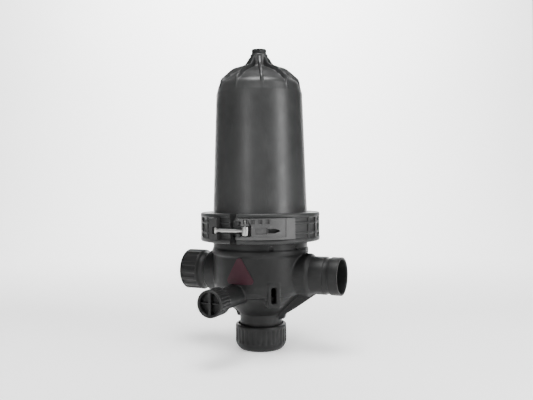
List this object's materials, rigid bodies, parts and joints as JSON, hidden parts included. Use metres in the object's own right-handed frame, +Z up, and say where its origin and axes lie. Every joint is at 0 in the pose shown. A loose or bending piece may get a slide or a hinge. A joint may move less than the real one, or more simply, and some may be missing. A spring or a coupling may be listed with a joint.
{
  "type": "disc filter",
  "caption": "Moulded irrigation disc filter: tall tapered cover clamped to a base with a horizontal inlet and outlet, a front drain port and a screwed bottom cap, with a disc cartridge inside",
  "frame": {"origin": "centre of the bottom cap's flat underside, which the filter stands on", "axes": "+Z up along the cover's axis, +X along the outlet pipe, -X along the inlet pipe, -Y to the front, where the latch, the grade label and the small drain port are; the clamp's hinge is at +Y"},
  "size_m": [0.2775, 0.2645, 0.4919],
  "materials": {
    "black_plastic": "glass-filled black plastic, satin",
    "cover_plastic": "charcoal moulded plastic, satin",
    "latch_plastic": "black plastic, semi-gloss",
    "nut_plastic": "black plastic, satin",
    "natural_plastic": "dark grey plastic, satin",
    "disc_red": "red grooved plastic discs",
    "grade_red": "dark red badge",
    "steel": "stainless steel",
    "rubber": "black rubber"
  },
  "bodies": {
    "base": {"base_housing": "black_plastic", "elbow": "black_plastic", "outlet_pipe": "black_plastic", "inlet_pipe": "black_plastic", "drain_pipe": "black_plastic", "cover_seal": "rubber", "grade_label": "grade_red", "spine": "natural_plastic", "spine_seal": "rubber", "disc_stack": "disc_red", "pressure_plate": "black_plastic", "spring": "steel"},
    "cover": {"cover": "cover_plastic"},
    "clamp_left": {"clamp_left": "black_plastic", "clamp_hinge_pin": "steel"},
    "clamp_right": {"clamp_right": "black_plastic", "latch_pin_lower": "steel", "latch_pin_upper": "steel"},
    "latch_lever": {"latch_lever": "latch_plastic", "latch_link_pin": "steel"},
    "latch_link": {"latch_link": "steel"},
    "vent_seal": {"vent_seal": "rubber"},
    "vent_plug": {"vent_plug": "black_plastic"},
    "nut_washer": {"spring_washer": "steel"},
    "wing_nut": {"wing_nut": "nut_plastic"},
    "bottom_gasket": {"bottom_gasket": "rubber"},
    "bottom_cap": {"bottom_cap": "black_plastic"},
    "drain_gasket": {"drain_gasket": "rubber"},
    "drain_cap": {"drain_cap": "black_plastic"}
  },
  "joints": [
    {"name": "cover_lift", "type": "slide", "parent": "base", "child": "cover", "axis": [0, 0, 1], "range_m": [0, 0.32]},
    {"name": "clamp_left_swing", "type": "hinge", "parent": "base", "child": "clamp_left", "pos_m": [0, 0.0992, 0.201], "axis": [0, 0, -1], "range_deg": [0, 80]},
    {"name": "clamp_right_swing", "type": "hinge", "parent": "base", "child": "clamp_right", "pos_m": [0, 0.0992, 0.201], "axis": [0, 0, 1], "range_deg": [0, 80]},
    {"name": "lever_swing", "type": "hinge", "parent": "clamp_right", "child": "latch_lever", "pos_m": [0.0115, -0.1023, 0.2015], "axis": [0, 0, -1], "range_deg": [0, 110]},
    {"name": "link_swing", "type": "hinge", "parent": "latch_lever", "child": "latch_link", "pos_m": [0.0225, -0.101, 0.199], "axis": [0, 0, 1], "range_deg": [0, 120]},
    {"name": "vent_plug_feed", "type": "slide", "parent": "cover", "child": "vent_seal", "axis": [0, 0, 1], "range_m": [0, 0.014]},
    {"name": "vent_plug_turn", "type": "hinge", "parent": "vent_seal", "child": "vent_plug", "pos_m": [0, 0, 0.4857], "axis": [0, 0, 1], "range_deg": [0, 2520]},
    {"name": "nut_feed", "type": "slide", "parent": "base", "child": "nut_washer", "axis": [0, 0, 1], "range_m": [0, 0.016], "deforming": ["spring"]},
    {"name": "nut_turn", "type": "hinge", "parent": "nut_washer", "child": "wing_nut", "pos_m": [0, 0, 0.4218], "axis": [0, 0, 1], "range_deg": [0, 2880]},
    {"name": "bottom_cap_feed", "type": "slide", "parent": "base", "child": "bottom_gasket", "axis": [0, 0, -1], "range_m": [0, 0.035]},
    {"name": "bottom_cap_turn", "type": "hinge", "parent": "bottom_gasket", "child": "bottom_cap", "pos_m": [0, 0, 0.0205], "axis": [0, 0, -1], "range_deg": [0, 2520]},
    {"name": "drain_cap_feed", "type": "slide", "parent": "base", "child": "drain_gasket", "axis": [0, -1, 0], "range_m": [0, 0.0128]},
    {"name": "drain_cap_turn", "type": "hinge", "parent": "drain_gasket", "child": "drain_cap", "pos_m": [-0.008, -0.1445, 0.0975], "axis": [0, -1, 0], "range_deg": [0, 1440]}
  ],
  "couplings": [
    {"joint": "clamp_left_swing", "follows": "cover_lift", "rad_per_m": 4.3629},
    {"joint": "clamp_right_swing", "follows": "cover_lift", "rad_per_m": 4.3629},
    {"joint": "lever_swing", "follows": "cover_lift", "rad_per_m": 5.999},
    {"joint": "link_swing", "follows": "cover_lift", "rad_per_m": 6.5443},
    {"joint": "vent_plug_turn", "follows": "vent_plug_feed", "rad_per_m": 3141.6},
    {"joint": "nut_turn", "follows": "nut_feed", "rad_per_m": 3141.6},
    {"joint": "bottom_cap_turn", "follows": "bottom_cap_feed", "rad_per_m": 1256.6},
    {"joint": "drain_cap_turn", "follows": "drain_cap_feed", "rad_per_m": 1963.5}
  ]
}
